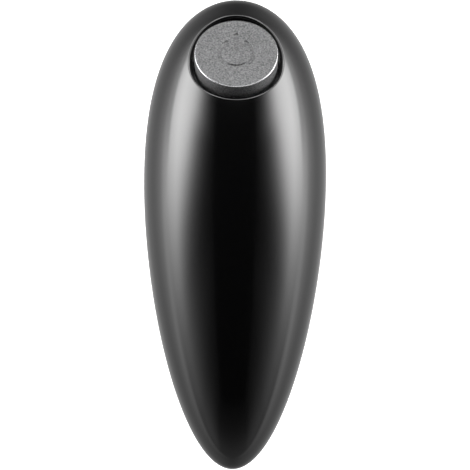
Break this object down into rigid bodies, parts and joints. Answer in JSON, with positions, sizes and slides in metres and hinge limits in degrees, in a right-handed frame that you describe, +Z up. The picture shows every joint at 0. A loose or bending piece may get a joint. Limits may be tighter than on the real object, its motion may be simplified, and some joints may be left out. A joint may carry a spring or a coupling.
{
  "type": "electric can opener",
  "caption": "Hands-free battery can opener: egg-shaped black body, tilted round silver thumb button, drive wheel and eccentric cutter wheel behind a guard underneath.",
  "frame": {"origin": "centre of the outline seen from above, at the level of the guard's foot, the lowest face", "axes": "+X across the body, +Y along it to the wide head end with the button, +Z up"},
  "size_m": [0.072, 0.185, 0.0575],
  "materials": {
    "gloss_black": "glossy moulded black",
    "satin_black": "satin moulded black",
    "silver_paint": "fine metallic silver paint",
    "black_plastic": "plain moulded",
    "white_plastic": "plain moulded",
    "acetal": "smooth self-lubricating",
    "circuit_board": "solder mask",
    "friction_fibre": "pressed fibre",
    "rubber": "soft",
    "screw_steel": "zinc plated",
    "spring_steel": "drawn wire",
    "pin_steel": "ground",
    "zinc_steel": "zinc plated sheet",
    "wheel_steel": "sintered and tumbled",
    "cutter_steel": "hardened and ground",
    "magnet": "dark sintered",
    "brass": "turned",
    "contact_metal": "nickel plated",
    "cell_wrap": "printed foil wrap, plain",
    "wire_red": "insulated wire",
    "wire_black": "insulated wire",
    "wire_white": "insulated wire"
  },
  "bodies": {
    "housing": {"top_shell": "gloss_black", "bottom_shell": "satin_black", "housing_screws": "screw_steel", "button_spring": "spring_steel", "switch_bracket": "black_plastic", "switch_board": "circuit_board", "push_switch": "black_plastic", "chassis_plate": "zinc_steel", "chassis_screws": "screw_steel", "gearbox_cover": "white_plastic", "cover_screws": "screw_steel", "gear_pins": "pin_steel", "stop_pin": "pin_steel", "motor_can": "zinc_steel", "motor_end_bell": "white_plastic", "motor_terminals": "brass", "motor_screws": "screw_steel", "lower_bush": "brass", "upper_bush": "brass", "shaft_seal": "rubber", "lid_magnet": "magnet", "magnet_cup": "zinc_steel", "battery_cradle": "black_plastic", "battery_cells": "cell_wrap", "contact_plates": "contact_metal", "contact_springs": "contact_metal", "control_board": "circuit_board", "board_chips": "black_plastic", "wire_red": "wire_red", "wire_black": "wire_black", "wire_motor": "wire_red", "wire_switch": "wire_white"},
    "button": {"button": "silver_paint"},
    "plunger": {"switch_plunger": "white_plastic"},
    "drive": {"drive_shaft": "pin_steel", "drive_gear": "acetal", "drive_pinion": "pin_steel", "drive_wheel": "wheel_steel", "drive_wheel_screw": "screw_steel"},
    "third_gear": {"gear_3": "acetal"},
    "second_gear": {"gear_2": "acetal"},
    "first_gear": {"gear_1": "acetal"},
    "motor_rotor": {"motor_shaft": "pin_steel", "motor_pinion": "brass"},
    "clutch": {"clutch_gear": "acetal"},
    "carrier": {"cutter_carrier": "wheel_steel", "friction_washer": "friction_fibre", "clutch_spring": "spring_steel", "carrier_clip": "spring_steel", "cutter_screw": "screw_steel"},
    "cutter": {"cutter_wheel": "cutter_steel"},
    "door": {"battery_door": "satin_black", "door_latch": "satin_black"}
  },
  "joints": [
    {"name": "button_press", "type": "slide", "parent": "housing", "child": "button", "axis": [0, -0.565, -0.8251], "range_m": [0, 0.0016], "stiffness_N_per_m": 900, "springref_m": -0.002, "deforming": ["button_spring"]},
    {"name": "plunger_slide", "type": "slide", "parent": "housing", "child": "plunger", "axis": [0, -0.565, -0.8251], "range_m": [0, 0.0016]},
    {"name": "drive_spin", "type": "hinge", "parent": "housing", "child": "drive", "pos_m": [0, 0.05, 0.01], "axis": [0, 0, 1], "continuous": true},
    {"name": "third_gear_spin", "type": "hinge", "parent": "housing", "child": "third_gear", "pos_m": [-0.0123, 0.03176, 0.01], "axis": [0, 0, 1], "continuous": true},
    {"name": "second_gear_spin", "type": "hinge", "parent": "housing", "child": "second_gear", "pos_m": [0.00446, 0.03059, 0.01], "axis": [0, 0, 1], "continuous": true},
    {"name": "first_gear_spin", "type": "hinge", "parent": "housing", "child": "first_gear", "pos_m": [0.00902, 0.01504, 0.01], "axis": [0, 0, 1], "continuous": true},
    {"name": "motor_spin", "type": "hinge", "parent": "housing", "child": "motor_rotor", "pos_m": [0, 0.005, 0.01], "axis": [0, 0, 1], "continuous": true},
    {"name": "clutch_spin", "type": "hinge", "parent": "housing", "child": "clutch", "pos_m": [0, 0.07, 0.01], "axis": [0, 0, 1], "continuous": true},
    {"name": "carrier_turn", "type": "hinge", "parent": "housing", "child": "carrier", "pos_m": [0, 0.07, 0.01], "axis": [0, 0, 1], "range_deg": [0, 180]},
    {"name": "cutter_spin", "type": "hinge", "parent": "carrier", "child": "cutter", "pos_m": [0, 0.0725, 0.01], "axis": [0, 0, 1], "continuous": true},
    {"name": "door_swing", "type": "hinge", "parent": "housing", "child": "door", "pos_m": [0, -0.0112, 0.0087], "axis": [1, 0, 0], "range_deg": [0, 95], "deforming": ["door_latch"]}
  ],
  "couplings": [
    {"joint": "plunger_slide", "follows": "button_press", "ratio": 1},
    {"joint": "third_gear_spin", "follows": "drive_spin", "ratio": -2.6667},
    {"joint": "second_gear_spin", "follows": "drive_spin", "ratio": 8},
    {"joint": "first_gear_spin", "follows": "drive_spin", "ratio": -28},
    {"joint": "motor_spin", "follows": "drive_spin", "ratio": 123.2},
    {"joint": "clutch_spin", "follows": "drive_spin", "ratio": -0.48148}
  ]
}
